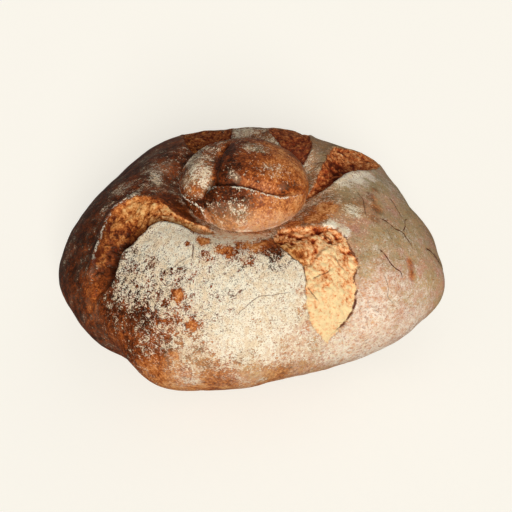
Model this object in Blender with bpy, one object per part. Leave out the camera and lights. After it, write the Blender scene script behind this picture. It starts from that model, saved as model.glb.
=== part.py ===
"""A round country sourdough loaf with a small knot of dough baked onto its crown.

One solid, in metres, +Z up. The origin is on the ground under the middle of the loaf's box.
Azimuths turn from +X towards +Y about the knot's axis. "Fall" is the angle down the crust:
0 at the crown, 90 at the waist, 150 at the rim of the flat base.
"""
import math

import bpy
import numpy as np
from mathutils import Vector, noise

# Driving dimensions, in metres and degrees.
KNOT_AXIS = (-0.0030, -0.0068)  # where the knot's axis stands on the ground
WAIST_REACH = (  # from the knot's axis out to the waist, one for every 30 degrees of azimuth
    0.144, 0.137, 0.140, 0.137, 0.143, 0.133, 0.139, 0.134, 0.129, 0.122, 0.119, 0.141,
)
WAIST_HEIGHT = 0.042
WAIST_TILT = 0.004  # the waist is this much higher towards +X
CROWN_HEIGHT = 0.125  # the dome's height before the knot's hollow is pressed into it
SHOULDER = 1.19  # above 1 the dome's shoulders slope, at 1 they are round
FOOT_DRAW = 0.43  # share of the reach by which the base draws in under the waist
FOOT_LEAN = (0.067, -57.0)  # extra share on one side, and that side's azimuth
FOOT_OVAL = (0.068, -29.0)  # extra share on two opposite sides, and their azimuth

BASE_RIM_FALL = 150.0  # the fall at which the crust meets the flat base

HOLLOW_DEPTH = 0.024  # the hollow that the knot sits in
HOLLOW_FLOOR_RADIUS = 0.020
HOLLOW_RIM_RADIUS = 0.076

# Where the crust tore open in the oven. "line" runs outwards through the middle of the tear, as
# (azimuth, fall, half-width). "floor" is the height of the torn crumb at the left bank, in the
# middle and at the right bank, seen along the line. "lip" is how far the crust curls up at the
# left and the right bank, and "crag" is how rough the crumb is.
BURSTS = {
    "left": {
        "line": (
            (-122, 30, 0.003), (-143, 30, 0.008), (-157, 33, 0.0125), (-161, 38, 0.018),
            (-160, 44, 0.020), (-155, 52, 0.015), (-150, 59, 0.0125), (-148, 65, 0.010),
            (-146, 74, 0.003),
        ),
        "floor": (-0.012, -0.008, -0.004),
        "lip": (0.0015, 0.0030),
        "crag": 0.0012,
    },
    "front_right": {
        "line": (
            (-52, 33, 0.012), (-51, 38, 0.022), (-50, 43, 0.023), (-50, 49, 0.021),
            (-52, 54, 0.0185), (-55, 61, 0.017), (-57, 67, 0.015), (-60, 74, 0.008),
            (-62, 81, 0.0025),
        ),
        "floor": (-0.0045, 0.0020, -0.0025),
        "lip": (0.0015, 0.0005),
        "crag": 0.0015,
    },
    "right": {
        "line": (
            (-10, 23, 0.0025), (8, 29, 0.010), (20, 34, 0.017), (28, 39, 0.019),
            (30, 49, 0.0155), (32, 58, 0.009), (33, 67, 0.0025),
        ),
        "floor": (-0.0030, -0.0075, -0.0060),
        "lip": (0.0020, 0.0020),
        "crag": 0.0015,
    },
    "back_left": {
        "line": (
            (120, 25, 0.006), (117, 30, 0.013), (115, 36, 0.014), (113, 43, 0.012),
            (111, 52, 0.008), (110, 60, 0.0025),
        ),
        "floor": (-0.0040, -0.0055, -0.0040),
        "lip": (0.0015, 0.0015),
        "crag": 0.0014,
    },
    "back_right": {
        "line": (
            (44, 23, 0.008), (54, 28, 0.013), (62, 34, 0.014), (65, 43, 0.013),
            (66, 53, 0.009), (66, 62, 0.003),
        ),
        "floor": (-0.0035, -0.0040, -0.0030),
        "lip": (0.0015, 0.0015),
        "crag": 0.0006,
    },
}
LIP_WIDTH = 0.006
BANK_WIDTH = 0.009  # how wide the bank between crust and torn crumb is
TEAR_TAPER = 0.12  # share of a tear's length over which each end dies out

# Swellings and dents of the crust: (azimuth, fall, spread, height).
SWELLINGS = (
    (-137, 92, 0.013, -0.0030),  # crease between the left lobe and the front lobe
    (-134, 108, 0.014, -0.0055),  # its foot
    (-116, 112, 0.020, 0.0045),  # the front lobe's heavy lower edge
    (-80, 112, 0.016, -0.0020),
    (-52, 112, 0.030, 0.0012),  # the loaf's lower edge under the front tear
    (-15, 91, 0.024, 0.0078),  # the right lobe's corner
    (12, 74, 0.016, -0.0050),
    (36, 66, 0.018, 0.0055),  # end of the right tear's upper bank
    (58, 57, 0.016, -0.0020),
    (88, 41, 0.015, 0.0025),  # the back lobe's crest
    (101, 49, 0.013, -0.0022),
    (-170, 90, 0.028, 0.0036),  # the left lobe's flank
    (168, 27, 0.014, -0.0040),  # gap between the knot and the left lobe
    (-97, 45, 0.030, 0.0015),  # the front lobe's crown
    (-22, 50, 0.030, 0.0015),  # the right lobe's crown
)
LUMP_SIZE = 0.040  # low, wide unevenness of the whole crust
LUMP_HEIGHT = 0.0012
CRAG_SIZE = 0.020  # width of the chunks in the torn crumb

FOOT_CALM = (125.0, 147.0)  # falls between which all relief dies out, so that the base stays flat

# The knot on the crown: a flattened ball, slashed in a T.
KNOT_RADII = (0.0463, 0.0450, 0.0275)
KNOT_HEIGHT = 0.112  # of its middle
SLASH_TAPER = 0.15  # share of a slash's length over which each end dies out
# Slashes on the knot: "line" as (azimuth, elevation) on the ball, "depth" of the groove, how wide
# its left and right banks are, and how far the right or the left bank's edge stands proud.
SLASHES = {
    "flap": {
        "line": (
            (112, 50), (135, 62), (190, 63), (215, 52), (225, 41), (222, 30), (222, 20), (228, 8),
            (236, -8), (241, -32),
        ),
        "depth": 0.0060,
        "banks": (0.0060, 0.0160),
        "lip": (0.0000, 0.0000),
    },
    "roll": {
        "line": ((-136, 34), (-118, 44), (-96, 48), (-76, 45), (-58, 37), (-30, 14)),
        "depth": 0.0050,
        "banks": (0.0120, 0.0040),
        "lip": (0.0000, 0.0015),
    },
}

# Fineness of the faceted solid.
LOAF_SEGMENTS = 104
LOAF_RINGS = 42
RING_SHARES = (0.0, 0.10, 0.76, 0.95, 1.0)  # of the rings, used up by the falls below
RING_FALLS = (0.0, 18.0, 90.0, BASE_RIM_FALL, 180.0)
KNOT_SEGMENTS = 60
KNOT_RINGS = 30
CURVE_STEPS = 6  # straight pieces between two points of a curve
DIFFERENCE = 0.001  # radians, for the slope of the crust

CRUST_COLOUR = (0.42, 0.20, 0.08, 1.0)
CRUST_ROUGHNESS = 0.75


def smooth_step(start, end, value):
    share = np.clip((value - start) / (end - start), 0.0, 1.0)
    return share * share * (3.0 - 2.0 * share)


def smooth_curve(points, closed=False):
    """A curve that passes through all the points, closed or open."""
    points = np.asarray(points, dtype=float)
    if closed:
        points = np.vstack([points[-1:], points, points[:2]])
    else:
        points = np.vstack([2 * points[0] - points[1], points, 2 * points[-1] - points[-2]])
    before, start, end, after = (points[i:len(points) - 3 + i, None, :] for i in range(4))
    t = (np.arange(CURVE_STEPS) / CURVE_STEPS)[None, :, None]
    curve = start + 0.5 * t * (end - before + t * (
        2 * before - 5 * start + 4 * end - after + t * (3 * (start - end) + after - before)))
    curve = curve.reshape(-1, points.shape[1])
    return curve if closed else np.vstack([curve, points[-2]])


def waist_reach(azimuth):
    reach = smooth_curve(np.array(WAIST_REACH)[:, None], closed=True)[:, 0]
    turn = np.linspace(0.0, 2 * math.pi, len(reach), endpoint=False)
    return np.interp(azimuth, turn, reach, period=2 * math.pi)


def plain_crust(azimuth, fall):
    """Points of the loaf before it has tears, swellings or a hollow. Angles in radians."""
    reach = waist_reach(azimuth)
    waist = WAIST_HEIGHT + WAIST_TILT * np.cos(azimuth)
    draw = FOOT_DRAW
    draw = draw + FOOT_LEAN[0] * np.cos(azimuth - math.radians(FOOT_LEAN[1]))
    draw = draw + FOOT_OVAL[0] * np.cos(2 * (azimuth - math.radians(FOOT_OVAL[1])))
    foot = reach * (1 - draw)
    upper = np.minimum(fall, math.pi / 2)
    rim = math.radians(BASE_RIM_FALL)
    lower = np.clip((fall - math.pi / 2) / (rim - math.pi / 2), 0.0, 1.0) * math.pi / 2
    base = np.clip((math.pi - fall) / (math.pi - rim), 0.0, 1.0)
    dome_radius = reach * np.sin(upper) ** SHOULDER
    dome_height = waist + (CROWN_HEIGHT - waist) * np.cos(upper)
    foot_radius = (foot + (reach - foot) * np.cos(lower)) * base
    foot_height = waist * (1 - np.sin(lower))
    above = fall <= math.pi / 2
    radius = np.where(above, dome_radius, foot_radius)
    height = np.where(above, dome_height, foot_height)
    return np.stack([radius * np.cos(azimuth), radius * np.sin(azimuth), height], axis=-1)


def outward(azimuth, fall):
    """Unit normals of the plain crust."""
    here = plain_crust(azimuth, fall)
    across = plain_crust(azimuth + DIFFERENCE, fall) - here
    down = plain_crust(azimuth, fall + DIFFERENCE) - here
    normal = np.cross(down, across)
    length = np.linalg.norm(normal, axis=-1, keepdims=True)
    straight = np.where(fall[:, None] < math.pi / 2, 1.0, -1.0) * np.array([[0.0, 0.0, 1.0]])
    return np.where(length > 1e-12, normal / np.maximum(length, 1e-12), straight)


def follow(points, normals, line):
    """Where each point lies against a line on the surface: its share of the way along the line,
    and its distance from it, positive on the line's left."""
    nearest = np.full(len(points), np.inf)
    along = np.zeros(len(points))
    across = np.zeros(len(points))
    for index in range(len(line) - 1):
        step = line[index + 1] - line[index]
        share = np.clip((points - line[index]) @ step / (step @ step), 0.0, 1.0)
        offset = points - line[index] - share[:, None] * step
        distance = np.linalg.norm(offset, axis=1)
        side = np.sign(np.einsum("ij,ij->i", np.cross(normals, step), offset))
        closer = distance < nearest
        nearest[closer] = distance[closer]
        along[closer] = (index + share[closer]) / (len(line) - 1)
        across[closer] = distance[closer] * side[closer]
    return along, across


def on_crust(azimuth, fall):
    return plain_crust(np.radians(np.atleast_1d(azimuth)), np.radians(np.atleast_1d(fall)))


def chunks(point, size):
    """1 in the middle of a chunk of crumb, 0 in the gap between two chunks."""
    distances, _ = noise.voronoi(Vector(point) / size)
    return min(1.0, 2.0 * (distances[1] - distances[0]))


def tear_height(points, normals, burst):
    """Height of one burst's floor, banks, lips and crags over the plain crust."""
    route = smooth_curve(burst["line"])
    line = on_crust(route[:, 0], route[:, 1])
    along, across = follow(points, normals, line)
    half_width = np.interp(along, np.linspace(0.0, 1.0, len(route)), route[:, 2])
    inside = smooth_step(-0.5 * BANK_WIDTH, 0.5 * BANK_WIDTH, half_width - np.abs(across))
    left, middle, right = burst["floor"]
    place = np.clip(across / half_width, -1.0, 1.0)
    floor = middle + 0.5 * (left - right) * place + (0.5 * (left + right) - middle) * place ** 2
    ends = smooth_step(0.0, TEAR_TAPER, along) * smooth_step(0.0, TEAR_TAPER, 1.0 - along)
    lip = np.where(across > 0, burst["lip"][0], burst["lip"][1])
    past_bank = (np.abs(across) - half_width - 0.5 * LIP_WIDTH) / (0.5 * LIP_WIDTH)
    height = inside * floor * ends + lip * ends * np.exp(-past_bank ** 2)
    for index in np.flatnonzero(inside > 0.05):
        height[index] += burst["crag"] * inside[index] * (2 * chunks(points[index], CRAG_SIZE) - 1)
    return height


def shaped_crust(azimuth, fall):
    """Points of the loaf with its hollow, tears and swellings."""
    points = plain_crust(azimuth, fall)
    normals = outward(azimuth, fall)
    height = np.zeros(len(points))
    for burst in BURSTS.values():
        height += tear_height(points, normals, burst)
    for swell_azimuth, swell_fall, spread, rise in SWELLINGS:
        distance = np.linalg.norm(points - on_crust(swell_azimuth, swell_fall), axis=1)
        height += rise * np.exp(-(distance / spread) ** 2)
    height += [LUMP_HEIGHT * noise.noise(Vector(point) / LUMP_SIZE) for point in points]
    above_foot = 1.0 - smooth_step(*np.radians(FOOT_CALM), fall)
    shaped = points + normals * (height * above_foot)[:, None]
    radius = np.hypot(points[:, 0], points[:, 1])
    pressed = HOLLOW_DEPTH * (1.0 - smooth_step(HOLLOW_FLOOR_RADIUS, HOLLOW_RIM_RADIUS, radius))
    shaped[:, 2] -= np.where(fall < math.pi / 2, pressed, 0.0)
    return shaped


def on_knot(azimuth, elevation):
    azimuth, elevation = np.radians(azimuth), np.radians(elevation)
    level = np.cos(elevation)
    way = np.stack([level * np.cos(azimuth), level * np.sin(azimuth), np.sin(elevation)], axis=-1)
    return way * np.array(KNOT_RADII)


def shaped_knot(ways):
    """Points of the knot, about its own middle, for unit vectors out of it."""
    radii = np.array(KNOT_RADII)
    points = ways * radii
    normals = ways / radii
    normals /= np.linalg.norm(normals, axis=1, keepdims=True)
    height = np.zeros(len(points))
    for slash in SLASHES.values():
        route = smooth_curve(slash["line"])
        along, across = follow(points, normals, on_knot(route[:, 0], route[:, 1]))
        ends = smooth_step(0.0, SLASH_TAPER, along) * smooth_step(0.0, SLASH_TAPER, 1.0 - along)
        left = across > 0
        bank = np.where(left, slash["banks"][0], slash["banks"][1])
        lip = np.where(left, slash["lip"][0], slash["lip"][1])
        groove = 1.0 - smooth_step(0.0, 1.0, np.abs(across) / bank)
        crest = np.exp(-((np.abs(across) - bank) / bank) ** 2)
        height += ends * (lip * crest - slash["depth"] * groove)
    return points + normals * height[:, None]


def sphere(name, segments, rings):
    bpy.ops.mesh.primitive_uv_sphere_add(segments=segments, ring_count=rings, radius=1.0)
    ball = bpy.context.object
    ball.name = name
    ball.data.name = name
    return ball


def vertex_array(mesh):
    flat = np.empty(len(mesh.vertices) * 3)
    mesh.vertices.foreach_get("co", flat)
    return flat.reshape(-1, 3)


def reshape(mesh, points):
    mesh.vertices.foreach_set("co", points.ravel())
    mesh.update()


def crust_material():
    material = bpy.data.materials.new("baked_crust")
    material.use_nodes = True
    shader = material.node_tree.nodes["Principled BSDF"]
    shader.inputs["Base Color"].default_value = CRUST_COLOUR
    shader.inputs["Roughness"].default_value = CRUST_ROUGHNESS
    shader.inputs["Metallic"].default_value = 0.0
    return material


def build_round():
    """The big round of the loaf, without its knot."""
    loaf = sphere("loaf", LOAF_SEGMENTS, LOAF_RINGS)
    ways = vertex_array(loaf.data)
    ways /= np.linalg.norm(ways, axis=1, keepdims=True)
    azimuth = np.arctan2(ways[:, 1], ways[:, 0])
    share = np.arccos(np.clip(ways[:, 2], -1.0, 1.0)) / math.pi
    fall = np.radians(np.interp(share, RING_SHARES, RING_FALLS))
    reshape(loaf.data, shaped_crust(azimuth, fall) + np.array([*KNOT_AXIS, 0.0]))
    return loaf


def build_knot():
    knot = sphere("knot", KNOT_SEGMENTS, KNOT_RINGS)
    ways = vertex_array(knot.data)
    ways /= np.linalg.norm(ways, axis=1, keepdims=True)
    reshape(knot.data, shaped_knot(ways) + np.array([*KNOT_AXIS, KNOT_HEIGHT]))
    return knot


def fuse(body, piece):
    """Joins the piece to the body for good, and removes it."""
    union = body.modifiers.new("fused", "BOOLEAN")
    union.operation = "UNION"
    union.object = piece
    union.solver = "EXACT"
    evaluated = body.evaluated_get(bpy.context.evaluated_depsgraph_get())
    fused = bpy.data.meshes.new_from_object(evaluated)
    body.modifiers.remove(union)
    body.data = fused
    bpy.data.objects.remove(piece)


def main():
    for thing in list(bpy.data.objects):
        bpy.data.objects.remove(thing)
    parts = bpy.data.collections.new("sourdough_loaf")
    bpy.context.scene.collection.children.link(parts)
    loaf = build_round()
    fuse(loaf, build_knot())
    for collection in list(loaf.users_collection):
        collection.objects.unlink(loaf)
    parts.objects.link(loaf)
    loaf.data.materials.clear()
    loaf.data.materials.append(crust_material())
    loaf.data.shade_smooth()


main()
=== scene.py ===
# A round sourdough loaf with a small knot of dough baked onto its crown, on a pale floor.
import functools
import math

import bpy
import numpy as np
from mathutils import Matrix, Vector, noise


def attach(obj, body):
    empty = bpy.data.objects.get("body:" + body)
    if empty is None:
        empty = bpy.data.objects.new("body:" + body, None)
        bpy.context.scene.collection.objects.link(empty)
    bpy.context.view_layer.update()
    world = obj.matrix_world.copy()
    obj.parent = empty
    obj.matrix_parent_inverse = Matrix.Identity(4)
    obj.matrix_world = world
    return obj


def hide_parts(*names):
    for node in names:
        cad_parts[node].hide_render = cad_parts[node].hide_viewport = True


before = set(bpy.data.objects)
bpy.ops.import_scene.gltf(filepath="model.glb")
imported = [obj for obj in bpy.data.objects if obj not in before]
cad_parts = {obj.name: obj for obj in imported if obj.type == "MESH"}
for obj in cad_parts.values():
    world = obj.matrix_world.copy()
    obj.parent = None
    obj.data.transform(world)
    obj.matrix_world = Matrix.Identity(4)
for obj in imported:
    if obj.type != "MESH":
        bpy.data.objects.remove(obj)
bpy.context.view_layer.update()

millimetre = 0.001
farFromEdge = -0.006  # metres outside a tear, for all crust further off than that

# Angles are in degrees, lengths in metres. Azimuths turn from +X towards +Y about the knot's axis.
# "Fall" is the angle down the crust: 0 at the crown, 90 at the waist, 150 at the base's rim.
loaf = {
    "knotAxis": (-0.0030, -0.0068),
    # how far the waist lies from the knot's axis, at 12 even azimuths from 0 on
    "waistReach": (0.144, 0.137, 0.140, 0.137, 0.143, 0.133,
                   0.139, 0.134, 0.129, 0.122, 0.119, 0.141),
    "waistHeight": 0.042,
    "waistTilt": 0.004,
    "crownHeight": 0.125,
    "shoulder": 1.19,
    "baseRimFall": 150.0,
    "footDraw": 0.43,
    "footLean": (0.067, -57.0),
    "footOval": (0.068, -29.0),
    "footCalm": (125.0, 147.0),       # falls between which all relief dies out
    "hollow": (0.024, 0.020, 0.076),  # depth, floor radius and rim radius of the seat under the knot
    # swellings and dents: azimuth, fall, spread, height
    "swellings": (
        (-137, 92, 0.013, -0.0030), (-134, 108, 0.014, -0.0055), (-116, 112, 0.020, 0.0045),
        (-80, 112, 0.016, -0.0020), (-52, 112, 0.030, 0.0012), (-15, 91, 0.024, 0.0078),
        (12, 74, 0.016, -0.0050), (36, 66, 0.018, 0.0055), (58, 57, 0.016, -0.0020),
        (88, 41, 0.015, 0.0025), (101, 49, 0.013, -0.0022), (-170, 90, 0.028, 0.0036),
        (168, 27, 0.014, -0.0040), (-97, 45, 0.030, 0.0015), (-22, 50, 0.030, 0.0015),
    ),
    "lumps": ((0.040, 0.0012), (0.013, 0.0005), (0.0055, 0.00020)),  # size, height
    "raggedEdge": 0.0010,             # how far a tear's edge wanders
    "pitEdges": (0.0032, 0.9),        # unevenness of the pits: size, share of the radius
    "pitFade": 0.001,                 # half the distance over which a tear's edge ends its pits
    # pits are darkened with the crevices' painted shade, more of it
    "pitGap": 1.25,                   # how much darker than a crevice a pit is
    "crackStray": (0.0050, 0.0007),   # how a crack strays from its line: size, distance
    "crackDrawn": (0.0016, 0.0030),   # distances from its line over which it fades out
    "crackEnds": (0.10, 0.25),        # shares of its length over which it starts and ends
    "crackHalfWidth": 0.0010,         # of the dip that the mesh gives it
    "crackDip": 0.9,                  # the dip's depth, as a share of the crack's own width
    "skinMap": (0.10, 0.14),          # metres of crust to a radian, round the loaf and down it
    "segments": 470,
    "rings": 176,
    # share of the rings used up, at which fall
    "ringPlan": ((0.0, 0.0), (0.04, 18.0), (0.62, 70.0), (0.92, 125.0), (0.97, 150.0), (1.0, 180.0)),
    # where columns crowd: azimuth, spread, extra
    "columnPlan": ((-156, 20, 1.0), (-52, 20, 1.0), (20, 26, 0.8), (115, 16, 0.5), (60, 18, 0.5)),
}

# The places where the crust tore open. "left" and "right" are the edges of the tear, seen looking
# outwards from the knot, as (azimuth, fall). "floor" and "tone" are rows of (along, left, middle,
# right): the height of the torn crumb, and how dark it is, toasted and in places painted shade.
# "rims" rows are (along, left, right): above 0 a floured white edge, below 0 a dark one, scorched
# and in places painted shade. "bank" is the steep bank's width, "bowl" the share of the depth
# reached gently, "ears" how far the left and the right edge's crust leans over the tear and how
# high it curls. "relief" is the height of the crumb's swells, ridges and grains. "torn" rows are
# (along, crevices, how freshly torn the crumb looks).
tears = {
    "left": {
        "left": ((-112, 28), (-117, 31), (-127, 32), (-137, 32.5), (-147, 36), (-147.5, 42),
                 (-146.5, 47), (-147, 52), (-144, 57), (-143, 64), (-146, 74)),
        "right": ((-112, 28), (-124, 25.5), (-138, 26), (-151, 28), (-165, 29.5), (-175, 37),
                  (-174.5, 45), (-170, 50), (-163, 55), (-156, 63), (-152, 69), (-146, 74)),
        "floor": ((0.0, -0.001, -0.002, -0.001), (0.25, -0.003, -0.003, -0.002),
                  (0.42, -0.012, -0.007, -0.003), (0.62, -0.014, -0.012, -0.006),
                  (0.80, -0.009, -0.009, -0.005), (1.0, -0.002, -0.002, -0.001)),
        # the left tear's high tone on its left and in its deep middle is partly painted shade under
        # the front lobe's overhanging edge
        "tone": ((0.0, 0.26, 0.26, 0.28), (0.25, 0.40, 0.31, 0.36), (0.42, 0.90, 0.46, 0.48),
                 (0.62, 1.14, 0.74, 0.58), (0.80, 1.05, 0.84, 0.68), (1.0, 0.64, 0.64, 0.64)),
        "rims": ((0.0, 0.0, 0.0), (0.25, -0.3, -0.7), (0.42, -0.5, -0.2), (0.50, -0.4, 0.55),
                 (0.82, -0.3, 0.50), (0.94, 0.0, 0.0)),
        "bank": 0.0028, "bowl": 0.40, "ears": ((0.0012, 0.0010), (0.0026, 0.0024)),
        "relief": (0.0015, 0.0008, 0.0004),
        "torn": ((0.0, 0.5, 1.0), (0.35, 0.7, 1.0), (0.5, 0.3, 1.0), (0.75, 0.4, 0.8),
                 (0.95, 0.3, 0.0)),
    },
    "frontRight": {
        "left": ((-57, 27), (-50, 30), (-44, 33), (-37, 36), (-35.5, 42), (-38.5, 48), (-40, 53),
                 (-44, 57), (-46, 62), (-49, 68), (-52, 73), (-57, 78), (-61, 83)),
        "right": ((-57, 27), (-64, 30), (-70, 34), (-69, 39), (-65, 44), (-62, 48), (-63, 53),
                  (-65, 59), (-66, 66), (-65, 74), (-61, 83)),
        "floor": ((0.0, -0.004, -0.004, -0.003), (0.18, -0.008, -0.005, -0.004),
                  (0.38, -0.0045, -0.001, -0.003), (0.44, -0.003, 0.0014, -0.0025),
                  (0.75, -0.003, 0.0022, -0.0015), (1.0, -0.001, 0.0, -0.0005)),
        "tone": ((0.0, 0.41, 0.43, 0.41), (0.2, 0.40, 0.40, 0.40), (0.4, 0.34, 0.31, 0.34),
                 (0.5, 0.25, 0.18, 0.26), (0.7, 0.18, 0.10, 0.20), (1.0, 0.08, 0.02, 0.10)),
        "rims": ((0.0, -0.5, -0.6), (0.18, 0.5, -0.9), (0.32, 0.1, -0.8), (0.42, -0.8, -0.6),
                 (0.85, -0.9, -0.3), (1.0, -0.2, 0.0)),
        "bank": 0.0026, "bowl": 0.25, "ears": ((0.0010, 0.0010), (0.0004, 0.0006)),
        "relief": (0.0009, 0.0007, 0.0006),
        "torn": ((0.0, 0.75, 1.0), (0.35, 0.65, 1.0), (0.6, 0.40, 1.0), (1.0, 0.15, 0.9)),
    },
    "right": {
        "left": ((-12, 21), (4, 24), (18, 28), (28, 33), (38, 40), (43, 46), (42, 54), (41, 62),
                 (35, 69)),
        "right": ((-12, 21), (-6, 26), (2, 31), (12, 37), (17, 43), (21, 50), (27, 58), (35, 69)),
        "floor": ((0.0, -0.001, -0.003, -0.002), (0.45, -0.004, -0.0085, -0.009),
                  (0.75, -0.002, -0.005, -0.005), (1.0, -0.001, -0.002, -0.001)),
        "tone": ((0.0, 0.58, 0.66, 0.60), (0.4, 0.58, 0.76, 0.62), (0.7, 0.50, 0.68, 0.56),
                 (1.0, 0.46, 0.52, 0.50)),
        "rims": ((0.0, -0.2, -0.3), (0.4, -0.5, 0.4), (1.0, -0.4, 0.2)),
        "bank": 0.0030, "bowl": 0.5, "ears": ((0.0006, 0.0012), (0.0014, 0.0014)),
        "relief": (0.0012, 0.0006, 0.0002),
        "torn": ((0.0, 0.3, 1.0), (0.5, 0.6, 1.0), (1.0, 0.4, 1.0)),
    },
    "backLeft": {
        "left": ((117, 21), (128, 25), (132, 30), (128, 37), (122, 44), (118, 52), (113, 60)),
        "right": ((117, 21), (104, 26), (99, 32), (98, 40), (104, 47), (109, 54), (113, 60)),
        "floor": ((0.0, -0.003, -0.004, -0.003), (0.5, -0.005, -0.0055, -0.005),
                  (1.0, -0.001, -0.001, -0.001)),
        "tone": ((0.0, 0.80, 0.80, 0.80), (0.5, 0.78, 0.74, 0.74), (1.0, 0.7, 0.7, 0.7)),
        "rims": ((0.0, -0.3, -0.3), (1.0, -0.3, -0.2)),
        "bank": 0.0028, "bowl": 0.35, "ears": ((0.0008, 0.0010), (0.0008, 0.0010)),
        "relief": (0.0010, 0.0008, 0.0004),
        "torn": ((0.0, 0.7, 1.0), (0.5, 0.6, 1.0), (1.0, 0.4, 0.8)),
    },
    "backRight": {
        "left": ((34, 22), (54, 26), (68, 31), (77, 38), (76, 46), (70, 54), (66, 62)),
        "right": ((34, 22), (36, 27), (42, 33), (50, 39), (57, 45), (61, 52), (66, 62)),
        "floor": ((0.0, -0.002, -0.003, -0.003), (0.5, -0.0035, -0.004, -0.003),
                  (1.0, -0.001, -0.001, -0.001)),
        "tone": ((0.0, 0.84, 0.84, 0.84), (0.5, 0.82, 0.80, 0.80), (1.0, 0.70, 0.70, 0.70)),
        "rims": ((0.0, 0.0, 0.0), (1.0, -0.3, 0.2)),
        "bank": 0.0030, "bowl": 0.5, "ears": ((0.0006, 0.0008), (0.0006, 0.0008)),
        "relief": (0.0008, 0.0005, 0.0003),
        "torn": ((0.0, 0.3, 0.9), (0.5, 0.3, 1.0), (1.0, 0.3, 0.8)),
    },
}

# What all the tears share
tornCrumb = {
    "widest": 0.085,                  # how far from a tear's middle any point of it lies
    "narrowest": 0.002,               # half-width that a tear is taken to have at its ends
    "notches": (0.0060, 0.0026),      # sizes of the notches in its edge
    "bankShares": (-0.35, 0.65),      # of the bank's width outside and inside the edge
    "crumbFrom": -0.0005,             # depth into the tear where the crumb starts
    "bend": (0.0065, 0.0032),         # what bends the flakes and ridges: its size, and how far
    "swellSize": 0.0095,
    "ridgeSize": 0.0055,
    "ridgeForm": (2.5, 1.5),          # how narrow the ridges are, and how sharp their crests
    "troughDepth": 0.6,               # between the ridges, as a share of their height
    "grainSize": 0.0024,
    "flakeSize": 0.0085,
    "creviceNarrowness": 6.5,
    "creviceRegion": 0.0070,          # size of the places that have crevices
    "creviceEdge": (-0.15, 0.25),     # how gradually such a place starts
    "creviceDepth": 0.0014,
    "leanReach": 0.0030,              # how far back from a tear its crust leans
    "leanStart": (0.04, 0.25),        # shares of the tear's length over which the leaning starts
    "leanEnd": (0.02, 0.22),          # the same, counted back from its other end
    "curl": (0.0012, 0.0028),         # where the curled crust stands highest, and its half-width
}

# Holes and pits in the torn crumb: azimuth, fall, radius, depth
pits = (
    (-155, 50, 0.0034, 0.0070), (-152, 55, 0.0056, 0.0095), (-150, 60, 0.0038, 0.0060),
    (-162, 46, 0.0020, 0.0030), (-158, 54, 0.0022, 0.0035), (-154, 64, 0.0022, 0.0030),
    (-57, 33, 0.0014, 0.0018), (-54, 36, 0.0018, 0.0022), (-50, 40, 0.0014, 0.0016),
    (-46, 36, 0.0016, 0.0020), (-42, 36, 0.0024, 0.0032), (-43, 42, 0.0014, 0.0020),
    (-38, 41, 0.0020, 0.0030), (-60, 38, 0.0013, 0.0014), (-66, 36, 0.0016, 0.0018),
    (-61, 30, 0.0018, 0.0020), (-39, 48, 0.0014, 0.0018), (-52, 44, 0.0013, 0.0014),
    (11, 34, 0.0036, 0.0016), (30, 41, 0.0035, 0.0035), (24, 36, 0.0025, 0.0030),
)

# Cracks in the crust and seams in the crumb: line, half-width, depth
cracks = (
    (((4, 51), (0, 53), (-3, 54), (-6, 56)), 0.00040, 0.9),
    (((-15, 46), (-14, 49), (-15, 53), (-14, 56), (-16, 60), (-18, 64)), 0.00044, 1.0),
    (((-14, 56), (-10, 57), (-6, 57), (-4, 59)), 0.00040, 1.0),
    (((-29, 52), (-29, 55), (-30, 59), (-29, 64), (-30, 67)), 0.00042, 1.0),
    (((-12, 68), (-11, 72), (-11, 77), (-11, 82), (-10, 87), (-8, 92)), 0.00080, 1.0),
    (((-18, 50), (-20, 52), (-22, 54)), 0.00026, 0.6),
    (((-35, 60), (-36, 65), (-38, 70), (-37, 74)), 0.00026, 0.6),
    (((-93, 62), (-90, 59), (-84, 55.5), (-76, 56), (-66, 56.5)), 0.00028, 0.60),
    (((-97, 53), (-94, 54.5), (-92, 53), (-89, 52)), 0.00036, 0.6),
    (((-123, 49), (-121, 45), (-117, 42)), 0.00036, 0.6),
    (((-119, 37), (-117, 40), (-115, 43)), 0.00050, 0.8),
    (((-60, 54), (-57, 53.5), (-54, 53), (-50, 52)), 0.00040, 0.7),
    (((-61, 48), (-62, 51), (-63, 56)), 0.00060, 0.8),
    (((-63, 56), (-62, 60), (-61, 63)), 0.00040, 0.6),
    (((-47, 65), (-50, 70), (-54, 75), (-60, 80)), 0.00065, 0.9),
    (((-43, 38), (-42, 41), (-44, 44)), 0.00070, 0.8),
    (((-46, 47), (-47, 51), (-46, 54)), 0.00034, 0.5),
    (((-172, 47), (-167, 51), (-162, 54)), 0.00090, 1.0),
    (((-161, 56), (-158, 60), (-155, 65)), 0.00090, 0.9),
    (((34, 34), (30, 38), (24, 40), (20, 44)), 0.00080, 0.9),
    (((31, 30), (25, 33), (19, 37)), 0.00060, 0.8),
    (((-2, 38), (-8, 40), (-14, 41), (-20, 43)), 0.00036, 0.7),
)

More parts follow.
